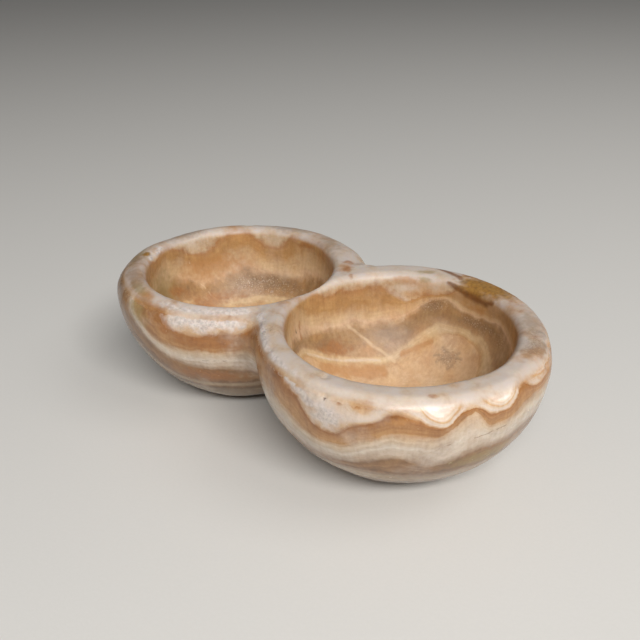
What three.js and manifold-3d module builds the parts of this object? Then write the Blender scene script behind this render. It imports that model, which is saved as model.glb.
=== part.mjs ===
// Alabaster double cup: two round bowls carved side by side out of one block of banded
// stone. The bowls share one wall, which runs up to a thin crest between the two openings.
// Millimetres, +Z up. The origin is on the underside, below the middle of the whole cup.
// The long side runs along X, with the smaller bowl on -X and the larger one on +X.

import * as THREE from "three";
import { mergeVertices } from "three/addons/utils/BufferGeometryUtils.js";
import Module from "manifold-3d";

// Driving dimensions of the smaller bowl, on -X
const smallRadius = 41.1; // outside, where the bowl is widest
const smallRimWall = 10.2; // wall under the lip of the opening
const smallFoot = 11.5; // radius of the flat that it stands on
const smallFullness = 1.77; // power of the flank's curve: 2 is an ellipse, more is squarer
const smallRimRound = 7.8; // how far in from its side the rim is rounded over
const smallOutOfRound = 0.024; // share by which it is longer towards +X +Y than round
const smallOpeningShift = -1.5; // its opening sits off its middle, along Y

// Driving dimensions of the larger bowl, on +X
const largeRadius = 42.8;
const largeRimWall = 10;
const largeFoot = 6.5;
const largeFullness = 1.98;
const largeRimRound = 4.5;
const largeOutOfRound = -0.016; // less than 0: it is longer towards +X -Y
const largeOpeningShift = -0.8;

// Driving dimensions that both bowls share
const smallHeight = 42.5; // height of the rim above the middle of the smaller bowl
const largeHeight = 41.9; // and above the middle of the larger one
const shoulder = 7; // how far below the rim the bowls are widest
const floorWall = 9; // stone under the deepest point of each hollow
const hollowFullness = 2.3; // power of the hollow's curve
const lipRound = 2.6; // rounding of the lip, in towards the hollow
const crestWall = 1.8; // stone between the two hollows, under the crest
const waistBlend = 9; // width over which one bowl's outside runs into the other's
const crestBlend = 1.2; // width over which the crest between the openings is rounded

// Places worked out from the driving dimensions
const smallOpening = smallRadius - smallRimWall;
const largeOpening = largeRadius - largeRimWall;
const spacing = smallOpening + crestWall + largeOpening;
const length = smallRadius + spacing + largeRadius;
const smallAxis = smallRadius - length / 2;
const largeAxis = smallAxis + spacing;
const meanHeight = (smallHeight + largeHeight) / 2;
const widest = meanHeight - shoulder;
const lipStart = meanHeight - lipRound;

// How many facets there are around each bowl, and along each stretch of its profile
const facetsAround = 72;
const facetsUpFlank = 11;
const facetsOverRim = 5;
const facetsUpHollow = 10;
const facetsOverLip = 3;

// Distance from the curve (u / a) ** p + (v / b) ** p = 1, less than 0 inside it, and how
// much of it is along u.
function cornerCurve(u, v, a, b, p) {
  const us = Math.max(u, 0) / a;
  const vs = Math.max(v, 0) / b;
  const s = Math.max((us ** p + vs ** p) ** (1 / p), 1e-6);
  const alongU = (us / s) ** (p - 1) / a;
  const alongV = (vs / s) ** (p - 1) / b;
  const steepness = Math.hypot(alongU, alongV);
  return { distance: (s - 1) / steepness, sideways: alongU / steepness };
}

// Points along the same curve, from (0, b) to (a, 0).
function cornerPoints(a, b, p, count) {
  return Array.from({ length: count + 1 }, (_, n) => {
    const turn = (n / count) * (Math.PI / 2);
    const u = a * Math.sin(turn) ** (2 / p);
    return [u, b * Math.max(Math.cos(turn), 0) ** (2 / p)];
  });
}

// Outside of one bowl, turned about its axis: a flat foot, a full flank, a rounded rim.
class Outside {
  constructor(axisX, sizes) {
    Object.assign(this, { axisX, ...sizes });
  }

  distance(x, y, z) {
    const { axisX, radius, foot, fullness, rimRound, outOfRound } = this;
    const dx = x - axisX;
    const squared = Math.max(dx ** 2 + y ** 2, 1e-6);
    const r = Math.sqrt(squared) / (1 + outOfRound * 2 * dx * y / squared);
    if (z < widest) return cornerCurve(r - foot, widest - z, radius - foot, widest, fullness);
    return cornerCurve(r - radius + rimRound, z - widest, rimRound, shoulder, 2);
  }

  profile() {
    const { radius, foot, fullness, rimRound } = this;
    const flank = cornerPoints(radius - foot, widest, fullness, facetsUpFlank);
    const rim = cornerPoints(rimRound, shoulder, 2, facetsOverRim).reverse().slice(1);
    return [
      [0, 0],
      ...flank.map(([u, v]) => [foot + u, widest - v]),
      ...rim.map(([u, v]) => [radius - rimRound + u, widest + v]),
      [0, meanHeight],
    ];
  }

  solid() {
    return turned(this.profile(), this.axisX, 0);
  }
}

// Hollow of one bowl: a round floor, a steep wall and a lip that rounds out to the rim.
class Hollow {
  constructor(axisX, axisY, opening) {
    Object.assign(this, { axisX, axisY, opening });
  }

  distance(x, y, z) {
    const r = Math.hypot(x - this.axisX, y - this.axisY);
    if (z < lipStart) {
      const depth = lipStart - floorWall;
      return cornerCurve(r, lipStart - z, this.opening, depth, hollowFullness);
    }
    const fromLip = Math.max(this.opening + lipRound - r, 0);
    const out = Math.max(Math.hypot(fromLip, z - lipStart), 1e-6);
    return { distance: lipRound - out, sideways: fromLip / out };
  }

  profile() {
    const depth = lipStart - floorWall;
    const wall = cornerPoints(this.opening, depth, hollowFullness, facetsUpHollow);
    const lip = cornerPoints(lipRound, lipRound, 2, facetsOverLip).reverse().slice(1);
    const mouth = this.opening + lipRound;
    return [
      ...wall.map(([u, v]) => [u, lipStart - v]),
      ...lip.map(([u, v]) => [mouth - u, lipStart + v]),
      [mouth, meanHeight + lipRound],
      [0, meanHeight + lipRound],
    ];
  }

  solid() {
    return turned(this.profile(), this.axisX, this.axisY);
  }
}

const outsides = [
  new Outside(smallAxis, {
    radius: smallRadius,
    foot: smallFoot,
    fullness: smallFullness,
    rimRound: smallRimRound,
    outOfRound: smallOutOfRound,
  }),
  new Outside(largeAxis, {
    radius: largeRadius,
    foot: largeFoot,
    fullness: largeFullness,
    rimRound: largeRimRound,
    outOfRound: largeOutOfRound,
  }),
];
const hollows = [
  new Hollow(smallAxis, smallOpeningShift, smallOpening),
  new Hollow(largeAxis, largeOpeningShift, largeOpening),
];

// Two forms run into one, with their meeting line softened sideways but not upwards.
function blended([one, two], width, x, y, z) {
  const [a, b] = [one.distance(x, y, z), two.distance(x, y, z)];
  const reach = Math.max(width * Math.min(a.sideways, b.sideways), 1e-6);
  const shared = Math.max(reach - Math.abs(a.distance - b.distance), 0);
  return Math.min(a.distance, b.distance) - shared ** 2 / (4 * reach);
}

// Distance from the surface of the cup with a level rim, less than 0 in the stone.
function stone(x, y, z) {
  const body = blended(outsides, waistBlend, x, y, z);
  const hollow = blended(hollows, crestBlend, x, y, z);
  return Math.max(body, -hollow, -z);
}

// Height of the rim above x: it falls evenly from the smaller bowl to the larger one.
function rimHeight(x) {
  return smallHeight + (largeHeight - smallHeight) * (x - smallAxis) / spacing;
}

const wasm = await Module();
wasm.setup();

// Closed solid of a geometry, once its shared corners are merged.
function solidOf(geometry) {
  const merged = mergeVertices(geometry, 1e-4);
  const corners = merged.index.array;
  const triangles = [];
  for (let n = 0; n < corners.length; n += 3) {
    const [a, b, c] = corners.subarray(n, n + 3);
    if (a !== b && b !== c && c !== a) triangles.push(a, b, c);
  }
  const mesh = new wasm.Mesh({
    numProp: 3,
    vertProperties: merged.attributes.position.array,
    triVerts: new Uint32Array(triangles),
  });
  return new wasm.Manifold(mesh);
}

// Solid turned from a profile of [radius, height] points about an upright axis.
function turned(profile, axisX, axisY) {
  const points = profile.map(([r, z]) => new THREE.Vector2(r, z));
  const geometry = new THREE.LatheGeometry(points, facetsAround);
  geometry.deleteAttribute("normal");
  geometry.deleteAttribute("uv");
  geometry.rotateX(Math.PI / 2);
  geometry.translate(axisX, axisY, 0);
  return solidOf(geometry);
}

// Sets a corner on the softened surface, in short moves along the way that the distance
// grows fastest.
function settle(corner) {
  const moves = 8;
  const longestMove = 1;
  const reach = 0.01;
  const leastSlope = 0.1;
  for (let n = 0; n < moves; n += 1) {
    const { x, y, z } = corner;
    const slope = new THREE.Vector3(
      stone(x + reach, y, z) - stone(x - reach, y, z),
      stone(x, y + reach, z) - stone(x, y - reach, z),
      stone(x, y, z + reach) - stone(x, y, z - reach),
    ).divideScalar(2 * reach);
    const off = stone(x, y, z) / Math.max(slope.lengthSq(), leastSlope);
    corner.addScaledVector(slope, -THREE.MathUtils.clamp(off, -longestMove, longestMove));
  }
}

function doubleCupGeometry() {
  const body = outsides[0].solid().add(outsides[1].solid());
  const hollow = hollows[0].solid().add(hollows[1].solid());
  const { vertProperties, triVerts } = body.subtract(hollow).getMesh();
  const geometry = new THREE.BufferGeometry();
  const position = new THREE.BufferAttribute(new Float32Array(vertProperties), 3);
  const corner = new THREE.Vector3();
  for (let n = 0; n < position.count; n += 1) {
    corner.fromBufferAttribute(position, n);
    settle(corner);
    position.setXYZ(n, corner.x, corner.y, corner.z * rimHeight(corner.x) / meanHeight);
  }
  geometry.setAttribute("position", position);
  geometry.setIndex(new THREE.BufferAttribute(new Uint32Array(triVerts), 1));
  geometry.computeVertexNormals();
  return geometry;
}

// Polished calcite alabaster in cream and caramel bands
const alabaster = new THREE.MeshStandardMaterial({
  color: "#d8bd93",
  roughness: 0.35,
  metalness: 0,
});

const doubleCup = new THREE.Mesh(doubleCupGeometry(), alabaster);
doubleCup.name = "double_cup";

const group = new THREE.Group();
group.add(doubleCup);

export default group;
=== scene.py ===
# Alabaster double cup: two round bowls carved side by side out of one block of banded stone.
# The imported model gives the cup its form, size and place. Here the same form is carved in a
# finer surface, dressed as banded calcite alabaster with a worn polish, and set on a pale floor
# in soft light. Blender works in metres; sizes below are in millimetres unless they say otherwise.

import logging
from dataclasses import dataclass
from enum import Enum
from functools import partial
from math import cos, radians, sin

import bpy
import numpy as np
from mathutils import Matrix, Vector


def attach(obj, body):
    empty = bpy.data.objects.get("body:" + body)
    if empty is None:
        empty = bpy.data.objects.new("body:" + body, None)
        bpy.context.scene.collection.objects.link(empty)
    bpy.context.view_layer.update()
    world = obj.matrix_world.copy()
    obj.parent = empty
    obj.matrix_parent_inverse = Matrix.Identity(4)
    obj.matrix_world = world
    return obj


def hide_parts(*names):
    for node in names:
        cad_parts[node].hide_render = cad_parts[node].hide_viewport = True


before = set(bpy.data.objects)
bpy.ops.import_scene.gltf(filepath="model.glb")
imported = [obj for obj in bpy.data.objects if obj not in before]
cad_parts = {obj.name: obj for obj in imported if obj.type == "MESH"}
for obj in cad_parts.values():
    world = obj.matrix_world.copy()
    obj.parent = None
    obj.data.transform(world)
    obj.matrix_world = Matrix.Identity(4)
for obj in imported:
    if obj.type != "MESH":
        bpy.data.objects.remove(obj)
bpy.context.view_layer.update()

CUP_NODE = "double_cup"
MM = 0.001

Points = np.ndarray
Values = np.ndarray

logging.basicConfig(level=logging.INFO, format="%(message)s")
log = logging.getLogger("double_cup")


def linear(colour: str, alpha: float = 1.0) -> tuple[float, float, float, float]:
    """Turns an sRGB hex colour into the linear values that Blender works with.

    Args:
        colour: Six hex digits after a #.
        alpha: How solid the colour is, from 0 to 1.

    Returns:
        Linear red, green and blue, and alpha.
    """
    parts = [int(colour[place:place + 2], 16) / 255 for place in (1, 3, 5)]
    low, slope, lift, power = 0.04045, 12.92, 0.055, 2.4
    red, green, blue = (p / slope if p <= low else ((p + lift) / (1 + lift)) ** power for p in parts)
    return red, green, blue, alpha


def add_node(
    tree: bpy.types.NodeTree,
    kind: str,
    settings: dict[str, object] | None = None,
    inputs: dict[int | str, object] | tuple[object, ...] = (),
    out: int | str = 0,
) -> bpy.types.NodeSocket | None:
    """Adds a shader node with its settings and links.

    Args:
        tree: Node tree that takes the node.
        kind: Kind of node, without the words ShaderNode.
        settings: Values of the node's own properties.
        inputs: What goes into each input, a plain value or an output: by its place or name, or
            in a row from the first.
        out: Which of the node's outputs is given back.

    Returns:
        The output, from which the node is reached as .node, or None if the node has none.
    """
    node = tree.nodes.new("ShaderNode" + kind)
    for name, value in (settings or {}).items():
        setattr(node, name, value)
    for key, value in inputs.items() if isinstance(inputs, dict) else enumerate(inputs):
        if isinstance(value, bpy.types.NodeSocket):
            tree.links.new(value, node.inputs[key])
        else:
            node.inputs[key].default_value = value
    return node.outputs[out] if node.outputs else None


# Settings that many nodes share
MULTIPLY = {"operation": "MULTIPLY"}
ADD_SHARE = {"operation": "MULTIPLY_ADD"}  # the first value times the second, and the third
COLOUR = {"data_type": "RGBA"}
SOFT_LIGHT = {"data_type": "RGBA", "blend_type": "SOFT_LIGHT"}


def smooth(low: float, high: float, values: Values) -> Values:
    """Eases from 0 at low to 1 at high."""
    share = np.clip((values - low) / (high - low), 0, 1)
    return share * share * (3 - 2 * share)


def corner_curve(u: Values, v: Values, a: float, b: float, power: float) -> tuple[Values, Values]:
    """Distance from the curve (u / a) ** power + (v / b) ** power = 1.

    Args:
        u: How far out each point lies.
        v: How far up or down it lies.
        a: Where the curve meets the outward axis.
        b: Where it meets the upright axis.
        power: 2 gives an ellipse, and more gives a squarer curve.

    Returns:
        The distance, less than 0 inside the curve, and how much of it is along u.
    """
    tiny = 1e-6
    us = np.maximum(u, 0) / a
    vs = np.maximum(v, 0) / b
    s = np.maximum((us ** power + vs ** power) ** (1 / power), tiny)
    along_u = (us / s) ** (power - 1) / a
    along_v = (vs / s) ** (power - 1) / b
    steepness = np.hypot(along_u, along_v)
    return (s - 1) / steepness, along_u / steepness


@dataclass(frozen=True)
class Bowl:
    """Sizes of one bowl."""

    radius: float  # outside, where it is widest
    rim_wall: float
    foot: float  # radius of the flat that it stands on
    fullness: float  # power of the flank's curve
    rim_round: float  # how far in from its side the rim is rounded over
    out_of_round: float
    opening_shift: float  # its opening sits off its middle, along Y

    @property
    def opening(self) -> float:
        """Radius of the hollow under its lip."""
        return self.radius - self.rim_wall


@dataclass(frozen=True)
class Unevenness:
    """Slow waves that a hand-held grinding stone leaves in a surface."""

    height: float
    shortest: float
    longest: float
    count: int
    seed: int

    def at(self, points: Points) -> Values:
        """How far the surface stands out at each point.

        Args:
            points: Places, one row each.

        Returns:
            One length for each place.
        """
        chance = np.random.default_rng(self.seed)
        total = np.zeros(len(points))
        for _ in range(self.count):
            way = chance.normal(size=3)
            way /= np.linalg.norm(way)
            wave = chance.uniform(self.shortest, self.longest)
            start = chance.uniform(0, 2 * np.pi)
            total += np.sin(points @ way * (2 * np.pi / wave) + start)
        return total * self.height / np.sqrt(self.count)


@dataclass(frozen=True)
class Chip:
    """A shallow pit or chip whose edge has worn smooth."""

    place: tuple[float, float, float]
    radius: float
    depth: float
    floor: float = 0.35  # share of its radius that lies flat before its edge rises

    def at(self, points: Points) -> Values:
        """How deep it is at each point."""
        away = np.linalg.norm(points - self.place, axis=1) / self.radius
        return self.depth * (1 - smooth(self.floor, 1.0, away))


# The pits and chips that the rims have taken, each at its own place
CHIPS: tuple[Chip, ...] = (
    Chip((35.3, -36.7, 41.9), 1.7, 0.6),
    Chip((39.1, -41.0, 39.8), 1.1, 0.45),
    Chip((29.5, 34.8, 41.9), 2.4, 0.52),
    Chip((-61.5, -15.5, 42.0), 1.8, 0.45),
    Chip((68.7, 17.2, 40.0), 2.2, 0.45),
    Chip((72.4, 8.7, 38.9), 1.7, 0.38),
    Chip((64.0, 21.1, 41.5), 2.0, 0.45),
    Chip((14.6, -35.6, 41.4), 1.7, 0.38),
    Chip((5.8, -28.9, 41.8), 1.5, 0.3),
    Chip((-24.2, -34.8, 41.7), 1.6, 0.33),
    Chip((-10.3, -29.5, 40.5), 1.7, 0.38),
    Chip((-58.0, 26.0, 42.0), 2.2, 0.45),
    Chip((-30.0, 36.5, 42.2), 1.6, 0.38),
    Chip((52.0, 32.0, 41.6), 1.8, 0.38),
)


@dataclass
class CupForm:
    """The double cup's form: two bowls out of one stone, which share a wall with a thin crest."""

    smaller: Bowl = Bowl(
        radius=41.1, rim_wall=10.2, foot=11.5, fullness=1.77,
        rim_round=7.8, out_of_round=0.024, opening_shift=-1.5,
    )
    larger: Bowl = Bowl(
        radius=42.8, rim_wall=10.0, foot=6.5, fullness=1.98,
        rim_round=4.5, out_of_round=-0.016, opening_shift=-0.8,
    )
    small_height: float = 42.5
    large_height: float = 41.9
    shoulder: float = 7.0  # how far below the rim the bowls are widest
    floor_wall: float = 9.0
    hollow_fullness: float = 2.3
    lip_round: float = 2.6
    crest_wall: float = 1.8  # stone between the two hollows
    waist_blend: float = 9.0  # width over which one bowl's outside runs into the other's
    crest_blend: float = 1.2
    grain: float = 0.78  # size of the fine surface's faces
    settling: int = 9  # short moves that bring its corners onto the form
    standing: float = 0.5  # below this it is left flat, to stand on
    uneven: Unevenness = Unevenness(height=0.14, shortest=16, longest=42, count=28, seed=11)
    tooled: Unevenness = Unevenness(height=0.028, shortest=2.6, longest=7, count=60, seed=23)

    @property
    def mean_height(self) -> float:
        """Height of the level rim that the form is worked out for."""
        return (self.small_height + self.large_height) / 2

    @property
    def spacing(self) -> float:
        """How far apart the two axes stand."""
        return self.smaller.opening + self.crest_wall + self.larger.opening

    def axis(self, bowl: Bowl) -> float:
        """Where one bowl's axis stands along X, with the middle of the cup at 0."""
        way = 1 if bowl is self.larger else -1
        return (way * self.spacing + self.smaller.radius - self.larger.radius) / 2

    def rim_height(self, x: Values) -> Values:
        """Height of the real rim above each x: it falls evenly towards the larger bowl."""
        share = (x - self.axis(self.smaller)) / self.spacing
        return self.small_height + (self.large_height - self.small_height) * share

    def outside(self, bowl: Bowl, points: Points) -> tuple[Values, Values]:
        """Distance from the outside of one bowl.

        Args:
            bowl: The bowl.
            points: Places, one row each.

        Returns:
            The distance, and how much of it is sideways.
        """
        dx, y, z = points[:, 0] - self.axis(bowl), points[:, 1], points[:, 2]
        widest = self.mean_height - self.shoulder
        squared = np.maximum(dx ** 2 + y ** 2, 1e-6)
        r = np.sqrt(squared) / (1 + bowl.out_of_round * 2 * dx * y / squared)
        flank = corner_curve(r - bowl.foot, widest - z, bowl.radius - bowl.foot, widest, bowl.fullness)
        rim = corner_curve(r - bowl.radius + bowl.rim_round, z - widest, bowl.rim_round, self.shoulder, 2)
        low = z < widest
        return np.where(low, flank[0], rim[0]), np.where(low, flank[1], rim[1])

    def hollow(self, bowl: Bowl, points: Points) -> tuple[Values, Values]:
        """Distance from the hollow of one bowl.

        Args:
            bowl: The bowl.
            points: Places, one row each.

        Returns:
            The distance, and how much of it is sideways.
        """
        r = np.hypot(points[:, 0] - self.axis(bowl), points[:, 1] - bowl.opening_shift)
        z = points[:, 2]
        lip_start = self.mean_height - self.lip_round
        wall = corner_curve(
            r, lip_start - z, bowl.opening, lip_start - self.floor_wall, self.hollow_fullness
        )
        from_lip = np.maximum(bowl.opening + self.lip_round - r, 0)
        out = np.maximum(np.hypot(from_lip, z - lip_start), 1e-6)
        low = z < lip_start
        return np.where(low, wall[0], self.lip_round - out), np.where(low, wall[1], from_lip / out)

    @staticmethod
    def blended(one: tuple[Values, Values], two: tuple[Values, Values], width: float) -> Values:
        """Two forms run into one, with their meeting line softened sideways but not upwards.

        Args:
            one: Distance of the first, and how much of it is sideways.
            two: The same of the second.
            width: Width over which they are softened.

        Returns:
            Distance from the joined form.
        """
        reach = np.maximum(width * np.minimum(one[1], two[1]), 1e-6)
        shared = np.maximum(reach - np.abs(one[0] - two[0]), 0)
        return np.minimum(one[0], two[0]) - shared ** 2 / (4 * reach)

    def stone(self, points: Points) -> Values:
        """How far places lie from the surface of the cup with a level rim.

        Args:
            points: Places, one row each.

        Returns:
            The distance of each, less than 0 in the stone.
        """
        bowls = self.smaller, self.larger
        body = self.blended(*(self.outside(bowl, points) for bowl in bowls), self.waist_blend)
        hollow = self.blended(*(self.hollow(bowl, points) for bowl in bowls), self.crest_blend)
        return np.maximum(np.maximum(body, -hollow), -points[:, 2])

    def slope(self, points: Points) -> Points:
        """Way in which the distance from the surface grows fastest.

        Args:
            points: Places, one row each.

        Returns:
            The way at each place, one row each.
        """
        reach = 0.01
        ways = [
            (self.stone(points + step) - self.stone(points - step)) / (2 * reach)
            for step in np.eye(3) * reach
        ]
        return np.stack(ways, axis=1)

    def settled(self, points: Points) -> Points:
        """Moves points onto the form.

        Args:
            points: Places near its surface, one row each.

        Returns:
            Places on its surface.
        """
        longest_move, least_slope = 1.0, 0.1
        for _ in range(self.settling):
            slope = self.slope(points)
            off = self.stone(points) / np.maximum((slope ** 2).sum(axis=1), least_slope)
            points = points - slope * np.clip(off, -longest_move, longest_move)[:, None]
        return points

    def carved(self, rough: bpy.types.Object) -> bpy.types.Object:
        """Carves the fine surface of the cup.

        Args:
            rough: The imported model's own solid of the cup.

        Returns:
            A new piece with the same form in finer faces.
        """
        piece = rough.copy()
        piece.data = rough.data.copy()
        piece.name = piece.data.name = "carved_cup"
        piece.modifiers.clear()
        bpy.context.scene.collection.objects.link(piece)
        remesh = piece.modifiers.new("even faces", "REMESH")
        remesh.mode = "VOXEL"
        remesh.voxel_size = self.grain * MM
        ready = piece.evaluated_get(bpy.context.evaluated_depsgraph_get())
        fine = bpy.data.meshes.new_from_object(ready)
        piece.modifiers.clear()
        piece.data = fine
        fine.name = "carved_cup"

        flat = np.empty(len(fine.vertices) * 3)
        fine.vertices.foreach_get("co", flat)
        points = flat.reshape(-1, 3) / MM
        points[:, 2] *= self.mean_height / self.rim_height(points[:, 0])
        points = self.settled(points)
        way = self.slope(points)
        way /= np.maximum(np.linalg.norm(way, axis=1, keepdims=True), 1e-6)
        raised = self.uneven.at(points) + self.tooled.at(points) - sum(chip.at(points) for chip in CHIPS)
        points += way * (raised * (points[:, 2] >= self.standing))[:, None]
        points[:, 2] *= self.rim_height(points[:, 0]) / self.mean_height
        fine.vertices.foreach_set("co", (points * MM).ravel())
        fine.polygons.foreach_set("use_smooth", [True] * len(fine.polygons))
        fine.materials.clear()
        fine.update()
        return piece


class Face(Enum):
    """The ground faces of the stone, each with its own way of saying where something lies."""

    SMALL_SIDE = "outside of the smaller bowl, by turn and height"
    LARGE_SIDE = "outside of the larger bowl, by turn and height"
    SMALL_HOLLOW = "hollow of the smaller bowl, by turn and height"
    LARGE_HOLLOW = "hollow of the larger bowl, by turn and height"
    TOP = "rims and the crest between them, by x and y"


class Tint(Enum):
    """What colours a mark in the stone."""

    MILK = "soft pale cloud"
    BLUSH = "thin iron stain, tan"
    OLIVE = "thin iron stain, green-brown"
    # Grey-brown cloud in the stone. It is also laid on as painted shade: at the waist, on the smaller
    # bowl's far left flank, and in part round the smaller bowl's rim
    SMOKE = "grey-brown cloud"
    CHALK = "dull white calcite"
    PALE = "cream vein"
    # Iron stain. It is also laid on as painted shade on the larger bowl's side at the waist
    RUST = "iron stain, orange-brown"
    AMBER = "clear amber calcite"
    UMBER = "iron drawn to the edge of a clear lens, deep brown"
    DARK = "dark pit or crack"
    SPECKLE = "loose grains, dark and light"
    CRACK = "hair cracks along a bed"


@dataclass
class Chart:
    """One face of the stone, laid out flat for the corners of the fine surface."""

    across: Values  # turn in degrees, or x
    up: Values  # height, or y
    weight: Values  # 1 on the face, 0 away from it
    share: Values  # how far this bowl's beds count here, next to the other bowl's
    reach: float  # length of one unit of across

    def offset(self, place: tuple[float, float]) -> tuple[Values, Values]:
        """How far each corner lies from a place.

        Args:
            place: Turn and height, or x and y.

        Returns:
            Lengths along the face and up it.
        """
        along = self.across - place[0]
        if self.reach != 1.0:
            along = (along + 180) % 360 - 180
        return along * self.reach, self.up - place[1]


@dataclass(frozen=True)
class BedLine:
    """Where one bed of the stone ends and the next begins, round one face."""

    places: dict[float, float]  # the height at each turn in degrees, in order of turn

    def at(self, turns: Values) -> Values:
        """Height of the line, on a smooth closed curve through its places.

        Args:
            turns: Turns in degrees.

        Returns:
            The height at each turn.
        """
        turn = np.array(list(self.places), dtype=float)
        height = np.array(list(self.places.values()), dtype=float)
        where = (turns - turn[0]) % 360 + turn[0]
        turn = np.concatenate((turn[-2:] - 360, turn, turn[:2] + 360))
        height = np.concatenate((height[-2:], height, height[:2]))
        lean = np.gradient(height, turn)
        n = np.clip(np.searchsorted(turn, where, side="right") - 1, 0, len(turn) - 2)
        gap = turn[n + 1] - turn[n]
        t = (where - turn[n]) / gap
        return (
            (1 + 2 * t) * (1 - t) ** 2 * height[n] + t * (1 - t) ** 2 * gap * lean[n]
            + t * t * (3 - 2 * t) * height[n + 1] + t * t * (t - 1) * gap * lean[n + 1]
        )


@dataclass(frozen=True)
class Patch:
    """A rounded mark."""

    tint: Tint
    place: tuple[float, float]
    half: tuple[float, float]  # half its length and half its height
    tilt: float = 0.0  # degrees

    def field(self, chart: Chart) -> Values:
        """1 in the middle of the mark, 0 at its edge and less outside.

        Args:
            chart: The face that it lies on.

        Returns:
            One value for each corner of the fine surface.
        """
        along, up = chart.offset(self.place)
        turn = radians(self.tilt)
        u = (along * cos(turn) + up * sin(turn)) / self.half[0]
        v = (up * cos(turn) - along * sin(turn)) / self.half[1]
        return 1 - np.hypot(u, v)


@dataclass(frozen=True)
class Vein:
    """A narrow mark that runs through a few places."""

    tint: Tint
    places: tuple[tuple[float, float], ...]
    half: float  # half its width

    def field(self, chart: Chart) -> Values:
        """1 along the middle of the vein, 0 at its edge and less outside.

        Args:
            chart: The face that it lies on.

        Returns:
            One value for each corner of the fine surface.
        """
        nearest = np.full(len(chart.up), 1e3)
        for start, end in zip(self.places, self.places[1:]):
            along, up = chart.offset(start)
            run = np.array([(end[0] - start[0]) * chart.reach, end[1] - start[1]])
            share = np.clip((along * run[0] + up * run[1]) / (run @ run), 0, 1)
            nearest = np.minimum(nearest, np.hypot(along - share * run[0], up - share * run[1]))
        return 1 - nearest / self.half


def lines(*rows: dict[float, float]) -> tuple[BedLine, ...]:
    """Bed lines of one face, from the lowest up."""
    return tuple(BedLine(row) for row in rows)


MILK, BLUSH, OLIVE, SMOKE, CHALK, PALE, RUST, AMBER, UMBER, DARK, SPECKLE, CRACK = Tint

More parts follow.
